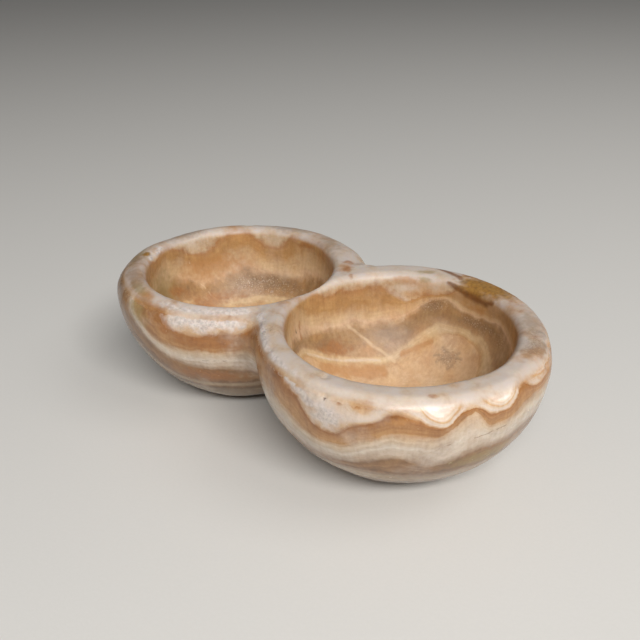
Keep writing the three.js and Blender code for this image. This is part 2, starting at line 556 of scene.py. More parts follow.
# The beds lie about level and bend up and down round each bowl. From the lowest up they are a
# tan foot, a brown seam, a pale seam, a brown bed, a broad white bed, a caramel bed, a white
# cap, thin rings, and clear white lenses that hang from the rim of the larger bowl.
ABOVE = 47.0  # higher than the rim: the bed above isn't there
BED_LINES: dict[Face, tuple[BedLine, ...]] = {
    Face.LARGE_SIDE: lines(
        {-150: 10.2, -90: 10.8, -40: 10.2, 20: 11, 80: 10, 140: 10.6},
        {-150: 12, -90: 12.6, -40: 12.2, 20: 13, 80: 11.8, 140: 12.4},
        {-150: 15.5, -120: 15, -90: 15.6, -75: 16.8, -60: 17.3, -40: 17, -28: 17.2, -15: 18, 0: 19,
         20: 19, 60: 17, 100: 16.4, 140: 15.6},
        {-150: 21, -120: 20.5, -100: 20, -88: 19.2, -80: 19.4, -72: 20.3, -66: 21.8, -61: 24, -57: 25.2,
         -53: 25.2, -48: 24, -44: 22.8, -40: 22.2, -36: 22.7, -31: 24.4, -26: 25.3, -18: 25.3, -10: 25.2,
         0: 26.8, 12: 26.5, 30: 25, 60: 23, 90: 24.5, 120: 23, 150: 22},
        {-150: 32, -140: 30.5, -128: 32, -118: 33, -110: 32.5, -104: 31.5, -98: 29.8, -92: 27.6,
         -86: 26.3, -80: 26, -75: 26.4, -70: 28, -64: 30.2, -58: 32.8, -53: 33.4, -48: 32.9, -44: 32.4,
         -41: 32.2, -38: 33.5, -34: 35.6, -31: 37.4, -28: 38, -26: 36, -24: 33.8, -18: 32.8, -12: 33,
         -7: 34.5, -2: 35.6, 4: 35.4, 12: 34.6, 25: 35, 40: 34, 60: 31.5, 80: 33, 100: 34.5, 120: 32.5,
         150: 33.5, 180: 35},
        {-150: 40.5, -140: 41, -128: 41.6, -115: 41.3, -105: 40, -98: 38.6, -92: 37.3, -88: 34,
         -84: 31.4, -78: 30.1, -74: 31, -71: 33.2, -67: 34.8, -62: 36.4, -57: 38.4, -52: 38.3, -47: 37,
         -43: 35.4, -39: 35, -36: 36.5, -33: 38.4, -29: 39, -26: 38, -23: 36.5, -18: 35.8, -13: 36.4,
         -9: 38.3, -6: 39.3, -2: 38, 4: 37, 10: 36.9, 18: 37.6, 30: 38.5, 45: 37, 60: 35.5, 75: 37,
         90: 39.5, 110: 38, 130: 36.5, 150: 38.5, 180: 40.2},
        {-120: ABOVE, -76: ABOVE, -72: 41.6, -69.5: 38.8, -67: 37.7, -64: 37.9, -61: 40, -58: 43,
         -54: 44, -51: 43, -48: 40.6, -45: 38, -42: 36.4, -39: 36, -36: 37.2, -33: 39.7, -30: 44,
         -28.5: 44, -26: 40.6, -23: 38.2, -19.5: 37, -16: 36.9, -12.5: 37.6, -9: 40, -6: 43, -4: 43,
         -1: 40.3, 4: 38.6, 9: 38.1, 15: 38.6, 21: 41, 25: ABOVE, 60: ABOVE, 150: ABOVE},
        {-120: ABOVE + 1, -54: ABOVE + 1, -50: 45, -47: 41, -44: 38.8, -41: 37.7, -38: 38.2, -35.5: 40,
         -33: 45, -25.5: 45, -23: 40.9, -20: 39, -16.5: 38.3, -13: 38.8, -10.5: 40.6, -8: 45, -3: 45,
         0: 42, 4: 40.4, 9: 39.8, 14: 40.4, 18: 42, 22: 45, 40: ABOVE + 1, 150: ABOVE + 1},
    ),
    Face.SMALL_SIDE: lines(
        {-180: 24, -150: 25, -120: 23, -110: 20, -100: 16.5, -92: 13.8, -86: 12.6, -78: 12, -60: 11.9,
         -42: 12.2, -20: 12, 40: 11, 60: 12, 100: 15, 140: 19},
        {-180: 26.5, -150: 28, -120: 26, -110: 23, -100: 19.5, -92: 16, -86: 14.4, -78: 13.8, -60: 13.7,
         -42: 14.2, -20: 14, 40: 13.4, 60: 14.5, 100: 17.6, 140: 22},
        {-180: 30, -150: 32, -120: 30, -110: 27, -100: 23, -95: 20.5, -90: 18, -85: 16.3, -78: 15.6,
         -60: 15.4, -42: 16, -20: 16, 40: 16, 60: 17.2, 100: 20.4, 140: 25},
        {-180: 40.5, -150: 43.5, -125: 43.5, -112: 42, -106: 39.8, -102: 37.5, -98: 35, -94: 32,
         -90: 29.3, -86: 27, -82: 25, -76: 23.6, -70: 23.2, -60: 22.9, -50: 23.2, -42: 24, -20: 24,
         40: 24.5, 60: 26, 100: 29, 140: 34},
        {-180: 44, -150: 46, -115: 45.5, -107: 43, -104: 41.5, -100: 39.2, -96: 36.6, -92: 34, -88: 31.8,
         -84: 30.4, -78: 29.6, -60: 29.5, -50: 30, -42: 30.5, -20: 31, 40: 33, 60: 33.5, 100: 36.5,
         140: 40},
        {-180: ABOVE, -120: ABOVE, -95: ABOVE, -87: 43, -84: 41.6, -81: 40.2, -78: 38.7, -74: 36.4,
         -70: 35.6, -66: 34.9, -63: 35, -60: 36, -55: 36.4, -50: 36.1, -46: 36.4, -42: 37.8, -38: 38,
         -20: 38.5, 40: 38.5, 60: 39, 100: 41, 140: 44},
        {-180: ABOVE + 1, 0: ABOVE + 1},
        {-180: ABOVE + 2, 0: ABOVE + 2},
    ),
    Face.SMALL_HOLLOW: lines(
        {0: 14, 80: 15.6, 120: 15.3, 160: 15.6, 200: 19, 250: 18, 300: 15},
        {0: 15.4, 80: 17.4, 120: 16.9, 160: 17.2, 200: 20.8, 250: 19.6, 300: 16.4},
        {0: 17.5, 80: 20, 90: 19.8, 110: 19.3, 140: 18.3, 155: 18.6, 162: 19.6, 170: 20.3, 180: 20.6,
         190: 21.5, 200: 22.5, 215: 23, 250: 22, 300: 18.5},
        {0: 26, 60: 29, 75: 28.8, 82: 27.8, 90: 26.8, 100: 25.6, 110: 25, 120: 25, 130: 26, 137: 27.2,
         145: 26, 155: 24.6, 163: 24, 170: 24.8, 178: 26.5, 185: 28.3, 192: 29.3, 200: 29, 215: 30,
         250: 29, 300: 26},
        {0: 34, 30: 34, 60: 35, 70: 36.5, 78: 37.5, 88: 36.7, 95: 34.4, 100: 32.5, 107: 31.2, 115: 31,
         122: 31.8, 128: 33.6, 134: 35.4, 138: 35.5, 143: 34, 150: 32, 158: 30.9, 166: 31, 172: 32.4,
         178: 34.2, 184: 35.6, 190: 36.6, 196: 38.5, 205: 37, 215: 35, 250: 35, 300: 33},
        {0: 40, 30: 39, 60: 40, 70: 41.5, 76: 43.5, 92: 43.5, 97: 42.3, 101: 40.5, 106: 38.6, 112: 37.1,
         118: 36.8, 123: 38, 127: 39.8, 131: 41.8, 137: 43.2, 142: 43.2, 147: 42.3, 151: 40.5, 155: 38.3,
         160: 36.8, 168: 36.2, 175: 36.8, 180: 38.8, 186: 41, 190: 42.8, 197: 41.8, 206: 40.7, 213: 41.5,
         222: 43.5, 250: 41, 300: 39},
        {0: ABOVE + 1, 180: ABOVE + 1},
        {0: ABOVE + 2, 180: ABOVE + 2},
    ),
    Face.LARGE_HOLLOW: lines(
        {0: 12, 35: 12.5, 50: 13.4, 58: 16.4, 63: 19.6, 69: 23, 75: 24.5, 82: 25, 90: 24.8, 97: 24.2,
         101: 21.8, 105: 19.8, 112: 17.6, 120: 15.7, 128: 14.3, 140: 13.5, 150: 13.6, 160: 14.1,
         170: 15.3, 180: 17, 188: 19.2, 197: 23.5, 215: 23, 250: 18, 300: 13},
        {0: 14, 35: 15, 50: 16.6, 56: 19, 62: 22.2, 68: 24.6, 74: 25.8, 82: 26.2, 90: 25.8, 98: 25.6,
         103: 25, 108: 22.8, 112: 21.2, 117: 19.2, 122: 17.6, 128: 16.4, 134: 15.8, 142: 15.8, 150: 16,
         158: 16.4, 166: 17.3, 174: 18.6, 182: 20.2, 190: 22.3, 197: 25, 215: 24.6, 250: 20, 300: 15},
        {0: 17, 35: 18.4, 46: 20.4, 52: 22.6, 58: 25, 64: 26.8, 68: 27.6, 74: 28.2, 82: 28.3, 90: 27.8,
         98: 27.3, 103: 27.4, 107: 26, 112: 23.6, 117: 21.6, 122: 19.6, 128: 18, 134: 17.1, 142: 17,
         150: 17.3, 158: 17.8, 166: 18.7, 174: 20, 182: 21.7, 190: 24, 197: 26.5, 215: 26.2, 250: 21.6,
         300: 17},
        {0: 30, 45: 33, 55: 34, 62: 35, 68: 33.8, 76: 33, 88: 33, 94: 34.2, 99: 35.4, 104: 35, 110: 33.2,
         115: 30.8, 120: 28.6, 126: 26.9, 133: 26, 140: 25.7, 148: 26, 156: 27, 164: 27, 172: 26.8,
         179: 27.8, 184: 28.8, 192: 29.8, 200: 29.5, 215: 29, 250: 27, 300: 28},
        {0: 35, 45: 35.5, 60: 36.5, 70: 35.2, 82: 34.6, 90: 35.2, 95: 36.2, 100: 36.6, 110: 35.2,
         118: 33.4, 122: 32.4, 126: 31.4, 131: 30.6, 140: 30, 150: 30.2, 160: 31.3, 170: 32.2, 180: 33.6,
         187: 35.6, 193: 38.2, 198: 41, 204: 40, 212: 37, 250: 34, 300: 34},
        {0: 40, 45: 43, 60: 43.5, 90: 43.5, 95: 40, 98: 37.6, 101: 37, 110: 35.6, 118: 33.8, 122: 33,
         125: 33.8, 128: 35.6, 132: 37, 137: 38.2, 144: 38.9, 150: 38.8, 156: 38.4, 162: 38.6, 168: 39,
         174: 39.6, 180: 41.6, 186: 43, 198: 43.5, 212: 42.5, 250: 40, 300: 39},
        {0: ABOVE + 1, 180: ABOVE + 1},
        {0: ABOVE + 2, 180: ABOVE + 2},
    ),
}

# A hair crack runs along the broad white bed of each bowl
CRACK_LINES: dict[Face, BedLine] = {
    Face.LARGE_SIDE: BedLine({
        -90: 25, -60: 25.6, -42: 27.6, -38: 29.1, -35: 29.7, -28: 30, -20: 30.5, -16: 30.6, 20: 31,
        120: 28,
    }),
    Face.SMALL_SIDE: BedLine({-180: 34, -90: 27, -65: 26, -53: 26.6, -40: 26.8, 80: 29}),
}

MARKS: dict[Face, tuple[Patch | Vein, ...]] = {
    Face.LARGE_HOLLOW: (
        # Under the far rim: the amber lens, a tan lens and white ground
        Patch(AMBER, (83, 42.4), (13, 4.6)),
        Vein(UMBER, ((99.4, 41.2), (92.4, 39.8), (84, 38.7), (76, 38.3), (68.6, 39.9)), 1.2),
        Vein(UMBER, ((88, 39.2), (80, 38.6), (74, 38.6)), 1.9),
        Patch(BLUSH, (78, 35.4), (6, 1.6)),
        Patch(BLUSH, (122.4, 40.2), (6.4, 2)),
        Patch(OLIVE, (113, 40.8), (3.4, 1.6)),
        Patch(MILK, (122.5, 37.4), (8, 1.8)),
        Patch(MILK, (141, 40.6), (9, 2.6)),
        Patch(MILK, (128, 35), (6, 1.6), 25),
        Patch(MILK, (106, 39), (3, 2.4)),
        Patch(MILK, (170, 40.6), (7, 1.4)),
        # Lower down: clouds, veins and loose grains
        Patch(SMOKE, (108, 32.4), (6, 2.4), -20),
        Patch(SMOKE, (132, 23), (11, 4)),
        Patch(SMOKE, (78, 31), (11, 2.8)),
        Patch(RUST, (172, 21.6), (9, 3.6), 12),
        Vein(BLUSH, ((190, 19), (178, 16), (160, 14.2), (138, 13.6)), 2.2),
        Vein(BLUSH, ((124, 17.4), (113, 19.4), (104, 21.8)), 1.2),
        Patch(SMOKE, (180, 24.2), (6, 1.8), 14),
        Vein(PALE, ((158.3, 26.3), (152.5, 23.4), (145, 19.9), (137, 17.6), (129, 15.6)), 0.8),
        Vein(MILK, ((196, 24.4), (181, 19.8), (170, 17.8), (158, 16.8), (140, 16)), 0.6),
        Vein(DARK, ((199.4, 36), (200, 31)), 0.4),
        Vein(RUST, ((195, 35), (196, 29)), 0.7),
        Patch(SPECKLE, (106, 33), (8, 3.4), -15),
        Patch(SPECKLE, (76, 31), (12, 3)),
        Patch(SPECKLE, (56, 31), (4, 4)),
        Patch(SPECKLE, (89, 19), (9, 3.4)),
        Patch(SMOKE, (89, 18.8), (7, 2.8)),
        Vein(SMOKE, ((100, 18.4), (91, 19.2), (79, 19.8)), 0.7),
        Vein(SMOKE, ((96, 21), (89.5, 18.8), (85, 16.6)), 0.7),
        Vein(SMOKE, ((82, 21.2), (90, 18.6), (97, 17)), 0.7),
        Vein(PALE, ((100, 24.6), (95, 22.4), (91, 20.6)), 0.34),
        Vein(PALE, ((92, 25.4), (91, 22.6), (90, 20.8)), 0.34),
        Vein(PALE, ((84, 24), (87, 21.8), (89, 20.6)), 0.3),
    ),
    Face.SMALL_HOLLOW: (
        Patch(RUST, (88, 39.4), (5.4, 1.9), -8),
        Patch(RUST, (192, 26), (6, 2.6), 10),
        Patch(RUST, (168, 18.6), (20, 3.6)),
        Patch(OLIVE, (206, 30), (12, 8)),
        Patch(BLUSH, (160, 30), (22, 6)),
        Patch(SMOKE, (112, 24), (20, 4.4)),
        Patch(SPECKLE, (118, 22.6), (24, 5)),
        Vein(PALE, ((171, 25.6), (167, 23), (165, 20.5), (161, 18.8)), 0.4),
        Vein(PALE, ((176.5, 37), (175, 33.2)), 0.34),
        Vein(PALE, ((95, 31.2), (105, 29.4), (116, 28.5)), 0.35),
        Patch(MILK, (85, 23.3), (0.9, 0.6)),
        Patch(MILK, (95, 21.4), (1, 0.6)),
        Patch(MILK, (113, 20.4), (1.1, 0.7)),
        Patch(MILK, (118, 23.6), (0.9, 0.6)),
        Patch(MILK, (124, 23), (0.9, 0.6)),
    ),
    Face.LARGE_SIDE: (
        Patch(CHALK, (-79, 34.6), (6.4, 4.8)),
        Vein(CHALK, ((-132, 41.2), (-116, 40.8), (-102, 40.6), (-92, 38.8), (-84, 36.6)), 1.7),
        Patch(MILK, (-62, 37.4), (6, 1.8), 20),
        Patch(MILK, (-23, 40.6), (2.2, 1.6)),
        Vein(RUST, ((-86, 39.4), (-81.5, 39.9)), 0.6),
        Vein(DARK, ((-81.2, 41), (-80.4, 40), (-80, 39)), 0.5),
        Vein(DARK, ((-79.4, 39.7), (-76.4, 39.4)), 0.28),
        Patch(RUST, (-74.3, 39.1), (1.4, 0.9)),
        Patch(RUST, (-66.5, 39.4), (3, 0.8), 6),
        Patch(RUST, (-28.5, 40), (1.7, 1)),
        # Painted shade: an orange-brown patch that darkens the larger bowl's side where it meets the
        # smaller bowl
        Patch(RUST, (-128, 29), (9, 8)),
        Patch(SPECKLE, (-80, 34.6), (8, 5)),
        Patch(BLUSH, (-54, 36.6), (4, 1.4)),
        Patch(BLUSH, (-122, 36.5), (10, 3)),
        Patch(BLUSH, (15, 38), (12, 3)),
        Patch(OLIVE, (-20, 21), (16, 4)),
        Patch(MILK, (26, 39.5), (4, 1.6)),
        Patch(MILK, (8, 39.4), (3, 1.4)),
        Patch(CRACK, (-39, 28.6), (5, 2)),
        Patch(CRACK, (-22, 30.4), (8, 2)),
    ),
    Face.SMALL_SIDE: (
        Patch(CHALK, (-73, 39.6), (7.4, 4.2)),
        Patch(CHALK, (-61, 39.4), (8.6, 4.4)),
        Patch(CHALK, (-49, 40), (6.8, 4)),
        Patch(OLIVE, (-98, 38.6), (8.4, 4), -30),
        Patch(RUST, (-80, 35.4), (3.4, 3)),
        Patch(RUST, (-61, 32.8), (17, 3.4)),
        Patch(RUST, (-62, 19.6), (17, 4)),
        # Painted shade: a grey-brown patch that darkens the smaller bowl's side where it meets the larger
        # bowl
        Patch(SMOKE, (-43, 31), (5, 9)),
        Patch(SPECKLE, (-63, 38.6), (15, 4.4)),
        # Painted shade: a grey-brown patch that darkens and dulls the beds on the smaller bowl's far left
        # flank
        Patch(SMOKE, (-108, 31), (9, 9)),
        Patch(SMOKE, (-61, 20.6), (4, 1.8)),
        Patch(CRACK, (-59, 26.4), (6, 2.6)),
    ),
    Face.TOP: (
        Patch(AMBER, (38.5, 35), (14, 6.2), -7),
        Vein(RUST, ((28, 38.6), (36, 39.6), (43, 38), (48, 35.4)), 1.4),
        Vein(UMBER, ((18.8, 37.8), (22.6, 37.2), (26, 36.6), (28.6, 35.8)), 1.5),
        Patch(OLIVE, (17.5, 32.5), (4.4, 2.2), 42),
        Vein(MILK, ((8.4, 25.4), (12.4, 28.6), (16.4, 30.8)), 1.2),
        Patch(MILK, (4.5, 22), (7.6, 3.4), 36),
        Patch(BLUSH, (-4.4, 18), (6.4, 3.6), -55),
        Patch(RUST, (-6.8, 22.6), (3.2, 2.2), 50),
        Patch(RUST, (-3.4, 17.8), (3.2, 2), -55),
        Patch(RUST, (1, 14.6), (1.8, 1.2), -40),
        Patch(RUST, (61, -26.6), (1.8, 1), 45),
        Patch(RUST, (36.6, -41), (2.2, 0.7)),
        Patch(SPECKLE, (6, -30), (5, 9), -60),
        Patch(SPECKLE, (66, 14), (12, 4), -65),
        Patch(MILK, (-0.6, 7), (6, 2), 90),
        Patch(BLUSH, (-0.4, -3), (5, 1.8), 90),
        Patch(AMBER, (-63.2, -17.6), (2.8, 1.5), -58),
        Vein(CHALK, ((-65, -10.4), (-62, -13.6), (-60.2, -18)), 1.3),
        Patch(SPECKLE, (35.3, -36.7), (1.6, 1.4)),
        Patch(BLUSH, (-38, -36.5), (5, 2.2)),
        Patch(OLIVE, (-44, -35), (8, 3), -20),
        Patch(BLUSH, (63, -14), (1.4, 1)),
        Patch(BLUSH, (69, 8), (3, 9), -12),
        Patch(SMOKE, (62, 22), (12, 6), -45),
        Patch(SMOKE, (68.6, 11), (6, 9), -8),
        # Broad grey-brown clouds round the smaller bowl's rim: partly the rim's own brownish colour, and
        # partly painted shade that darkens that rim
        Patch(SMOKE, (-22, 30.5), (12, 5), -28),
        Patch(BLUSH, (-59.6, 19.6), (5.4, 3.6), 38),
        Patch(SMOKE, (-68, 4), (6, 13)),
        Patch(SMOKE, (-52, -31), (14, 5), -30),
        Patch(SMOKE, (-44, 32.5), (15, 5), 14),
        Patch(SMOKE, (-62, -22), (8, 5), -50),
        Patch(OLIVE, (-66, -20), (12, 5), -55),
        Patch(MILK, (70, -4), (2.4, 4)),
        Vein(CHALK, ((-28.6, -38), (-22.6, -36.4), (-16.8, -33.6), (-11.8, -30), (-7.4, -25)), 3.4),
        Vein(CHALK, ((-2, -23), (5.8, -30.4), (14.6, -37), (23, -40.4), (31, -42)), 2.2),
        Vein(MILK, ((31, -41), (40, -40), (52, -36), (60, -29)), 2.2),
    ),
}


@dataclass
class Strata:
    """The beds and marks of the stone, worked out for the corners of the fine surface."""

    form: CupForm
    wander: Unevenness = Unevenness(height=0.28, shortest=3.5, longest=13, count=40, seed=5)
    top_band: tuple[float, float] = (2.9, 0.7)  # how far below the rim the top starts, and is whole
    waist: tuple[float, float] = (-5.0, 3.0)  # x over which one bowl's beds run into the other's
    lip: tuple[float, float] = (-4.0, 0.5)  # over which the outside's beds run into the hollow's
    crest_half: float = 1.2  # half the width over which one hollow's beds run into the other's

    def charts(self, points: Points) -> dict[Face, Chart]:
        """Lays out each face flat.

        Args:
            points: Corners of the fine surface, one row each.

        Returns:
            A chart for each face.
        """
        form = self.form
        level = points.copy()
        level[:, 2] *= form.mean_height / form.rim_height(points[:, 0])
        bowls = form.smaller, form.larger
        body = form.blended(*(form.outside(bowl, level) for bowl in bowls), form.waist_blend)
        hollows = [form.hollow(bowl, level)[0] for bowl in bowls]
        inside = smooth(*self.lip, -body - np.minimum(*hollows))
        in_large = smooth(-self.crest_half, self.crest_half, hollows[0] - hollows[1])
        by_large = smooth(*self.waist, points[:, 0])
        start, whole = (form.mean_height - below for below in self.top_band)
        top = smooth(start, whole, level[:, 2])
        sides = {}
        for bowl, side, hollow, share, share_in in (
            (form.smaller, Face.SMALL_SIDE, Face.SMALL_HOLLOW, 1 - by_large, 1 - in_large),
            (form.larger, Face.LARGE_SIDE, Face.LARGE_HOLLOW, by_large, in_large),
        ):
            x, y = points[:, 0] - form.axis(bowl), points[:, 1]
            turn = np.degrees(np.arctan2(y, x))
            turn_in = np.degrees(np.arctan2(y - bowl.opening_shift, x))
            z = points[:, 2]
            sides[side] = Chart(turn, z, (1 - inside) * share, share, radians(bowl.radius))
            sides[hollow] = Chart(turn_in, z, inside * share_in, share_in, radians(bowl.opening))
        sides[Face.TOP] = Chart(points[:, 0], points[:, 1], top, top, 1.0)
        return sides

    def bed(self, charts: dict[Face, Chart], faces: tuple[Face, Face], points: Points) -> Values:
        """Which bed shows at each corner.

        Args:
            charts: Each face laid out flat.
            faces: The two sides, or the two hollows.
            points: Corners of the fine surface, one row each.

        Returns:
            The number of the bed, counted from the lowest, and how far up in it the corner lies.
        """
        sway = self.wander.at(points)
        total = np.zeros(len(points))
        for face in faces:
            chart = charts[face]
            height = chart.up + sway
            below = np.zeros(len(points))
            count = np.zeros(len(points))
            for edge in BED_LINES[face]:
                above = np.maximum(edge.at(chart.across), below + 0.2)
                count += np.clip((height - below) / (above - below), 0, 1)
                below = above
            total += count * chart.share
        return total

    def dress(self, mesh: bpy.types.Mesh) -> None:
        """Writes the beds and marks onto the corners of the fine surface.

        Args:
            mesh: The fine surface.
        """
        flat = np.empty(len(mesh.vertices) * 3)
        mesh.vertices.foreach_get("co", flat)
        points = flat.reshape(-1, 3) / MM
        charts = self.charts(points)
        sides, hollows = (Face.SMALL_SIDE, Face.LARGE_SIDE), (Face.SMALL_HOLLOW, Face.LARGE_HOLLOW)
        fields = {
            "side_bed": self.bed(charts, sides, points),
            "hollow_bed": self.bed(charts, hollows, points),
            "inside": sum(charts[face].weight for face in hollows),
            "top": charts[Face.TOP].weight,
            "from_crack": sum(
                (charts[face].up - CRACK_LINES[face].at(charts[face].across)) * charts[face].share
                for face in sides
            ),
        }
        outer = -1.5
        for tint in Tint:
            best = np.full(len(points), outer)
            for face, marks in MARKS.items():
                for mark in marks:
                    if mark.tint is tint:
                        value = np.maximum(mark.field(charts[face]), outer)
                        best = np.maximum(best, outer + (value - outer) * charts[face].weight)
            fields[tint.name.lower()] = best
        for name, values in fields.items():
            layer = mesh.attributes.new(name, "FLOAT", "POINT")
            layer.data.foreach_set("value", values.astype(np.float32))


@dataclass(frozen=True)
class MarkFinish:
    """How one kind of mark looks."""

    tint: Tint
    colours: tuple[str, str]  # it is mottled in these two
    strength: float
    soft: float  # how wide its edge fades, as a share of the mark
    ragged: float  # how far its edge strays, as a share of the mark


@dataclass(frozen=True)
class Wash:
    """A thin even colour over the beds, where the broad blotches are strong enough."""

    colour: str
    start: float  # strength of the blotches where it starts
    whole: float  # and where it is whole
    outside: float  # how much it covers on the outside of the cup
    inside: float  # and in its hollows


@dataclass(frozen=True)
class Alabaster:
    """Calcite alabaster, sawn, ground and rubbed to a soft polish that has worn: the light goes a
    little way into it, so its shadows are warm and its edges soft."""

    name: str = "polished banded calcite alabaster"
    side_beds: tuple[tuple[float, str], ...] = (
        (0.0, "#88725a"), (0.85, "#937c60"), (1.15, "#715438"), (1.8, "#7e5f3e"), (2.15, "#a89175"),
        (2.8, "#a08970"), (3.12, "#83603f"), (3.5, "#916c47"), (3.85, "#896542"), (4.14, "#bda995"),
        (4.5, "#ccbdac"), (4.86, "#c3ab90"), (5.12, "#ab8054"), (5.6, "#a2764d"), (5.9, "#9a683c"),
        (6.08, "#c6a786"), (6.3, "#d0bfb0"), (6.9, "#ccb59d"), (7.1, "#c59c70"), (7.4, "#dccbb9"),
        (7.7, "#dac4ac"), (7.9, "#ead9c8"), (8.14, "#faf5ef"), (9.0, "#faf5ef"),
    )
    hollow_beds: tuple[tuple[float, str], ...] = (
        (0.0, "#cdad88"), (0.9, "#c9a680"), (1.3, "#bd966a"), (1.6, "#be9a6e"), (1.9, "#c2a278"),
        (2.2, "#c8ab83"), (2.75, "#c3a47c"), (3.15, "#a37f59"), (3.5, "#9b7951"), (3.85, "#a17e56"),
        (4.2, "#cba986"), (4.5, "#c8a880"), (4.85, "#c09d73"), (5.2, "#b08654"), (5.6, "#b48a59"),
        (5.85, "#ac7e52"), (6.15, "#c6ac8c"), (6.5, "#cbb8a4"), (9.0, "#c9b8a6"),
    )
    marks: tuple[MarkFinish, ...] = (
        MarkFinish(MILK, ("#dacbbb", "#cbb8a3"), 0.54, 1.0, 0.9),
        MarkFinish(BLUSH, ("#b68450", "#a7733e"), 0.68, 0.8, 1.2),
        MarkFinish(OLIVE, ("#9c854f", "#8b7344"), 0.6, 0.8, 1.2),
        MarkFinish(SMOKE, ("#8b7058", "#7a644c"), 0.5, 0.9, 1.4),
        MarkFinish(CHALK, ("#d6cbc4", "#aba099"), 0.8, 0.7, 1.1),
        MarkFinish(PALE, ("#dcc3a0", "#d0b48e"), 0.5, 0.9, 1.4),
        MarkFinish(RUST, ("#a56c38", "#8a572e"), 0.7, 0.8, 1.3),
        MarkFinish(AMBER, ("#a2752f", "#7c561c"), 0.95, 0.6, 0.7),
        MarkFinish(UMBER, ("#77440f", "#643a10"), 0.85, 0.9, 0.5),
        MarkFinish(DARK, ("#54331a", "#442a15"), 0.85, 0.7, 0.9),
    )
    washes: tuple[Wash, ...] = (
        Wash("#c48f56", 0.52, 0.7, 0.15, 0.4),  # where more iron has seeped into it
        Wash("#b7a596", 0.48, 0.32, 0.45, 0.2),  # where it is clearer and looks grey
    )
    grain_dark: str = "#6a5038"
    grain_pale: str = "#e2d0b8"
    wear: str = "#c4b7ae"  # dull skin of fine scratches on the rims
    layers: tuple[float, float] = (0.36, 0.14)  # how clear its layers are outside, and in the hollows
    loose: tuple[float, float] = (0.22, 0.42)  # the same of its loose crystals
    roughness: tuple[float, float] = (0.22, 0.52)  # outside, and in the hollows
    uneven_gloss: float = 0.25  # how far that varies from spot to spot
    tooth: float = 0.3  # strength of the fine relief
    tooth_depth: float = 0.12
    ior: float = 1.55
    glow_weight: float = 0.35
    glow_depth: float = 1.6  # how far light spreads inside it
    glow_shares: tuple[float, float, float] = (1.0, 0.62, 0.36)  # and its red, green and blue part
    blotch: float = 11.0  # size of its warm and cool blotches
    cloud: float = 6.0  # size of the soft clouds in its colour
    fray: float = 2.0  # size of the small bends in the edges of its beds
    mottle: float = 1.1  # size of the mottling of its marks
    lamina: float = 5.5  # how many fine layers there are in one bed
    fibre: float = 1.1  # thickness of the crystal fibres that stand across the beds
    sugar: float = 0.45  # size of its loose crystals, drawn coarse enough to show
    crack_half: float = 0.22  # half the width of a hair crack, drawn wide enough to show
    crack_wander: float = 1.6  # how far it strays from its line
    beds: int = 9

    def material(self) -> bpy.types.Material:
        """Makes the stone's material.

        Returns:
            A material that reads the beds and marks from the fine surface.
        """
        made = bpy.data.materials.new(self.name)
        made.use_nodes = True
        tree = made.node_tree
        tree.nodes.clear()
        node = partial(add_node, tree)
        place = node("TexCoord", out="Object")
        mm = node("VectorMath", {"operation": "SCALE"}, {0: place, "Scale": 1 / MM})
        names = "side_bed", "hollow_bed", "inside", "top", "from_crack", *(t.name.lower() for t in Tint)
        read = {name: node("Attribute", {"attribute_name": name}, out="Fac") for name in names}
        inside = read["inside"]
        sizes = self.blotch, self.cloud, self.fray, self.mottle, self.sugar
        blotches, clouds, edges, mottled, grain = (
            node("TexNoise", None, {"Vector": mm, "Scale": 1 / size, "Detail": detail})
            for size, detail in zip(sizes, (4.0, 5.0, 4.0, 3.0, 2.0))
        )
        cloudy, stray = (node("Math", {"operation": "SUBTRACT"}, (n, 0.5)) for n in (clouds, edges))

        # The beds, with frayed edges, and washes of colour over them
        beds = []
        for name, stops, fine, broad in (
            ("side_bed", self.side_beds, 0.2, 0.15), ("hollow_bed", self.hollow_beds, 0.4, 0.8),
        ):
            frayed = node("Math", ADD_SHARE, (stray, fine, read[name]))
            bent = node("Math", ADD_SHARE, (cloudy, broad, frayed))
            ramp = node("ValToRGB", None, (node("Math", MULTIPLY, (bent, 1 / self.beds)),))
            elements = ramp.node.color_ramp.elements
            elements[0].position, elements[0].color = stops[0][0] / self.beds, linear(stops[0][1])
            elements[1].position, elements[1].color = stops[-1][0] / self.beds, linear(stops[-1][1])
            for position, shade in stops[1:-1]:
                elements.new(position / self.beds).color = linear(shade)
            beds.append(ramp)
        colour = node("Mix", COLOUR, {0: inside, 6: beds[0], 7: beds[1]}, 2)
        for wash in self.washes:
            spread = node("MapRange", None, (blotches, wash.start, wash.whole))
            cover = node("MapRange", None, (inside, 0.0, 1.0, wash.outside, wash.inside))
            amount = node("Math", MULTIPLY, (spread, cover))
            colour = node("Mix", COLOUR, {0: amount, 6: colour, 7: linear(wash.colour)}, 2)

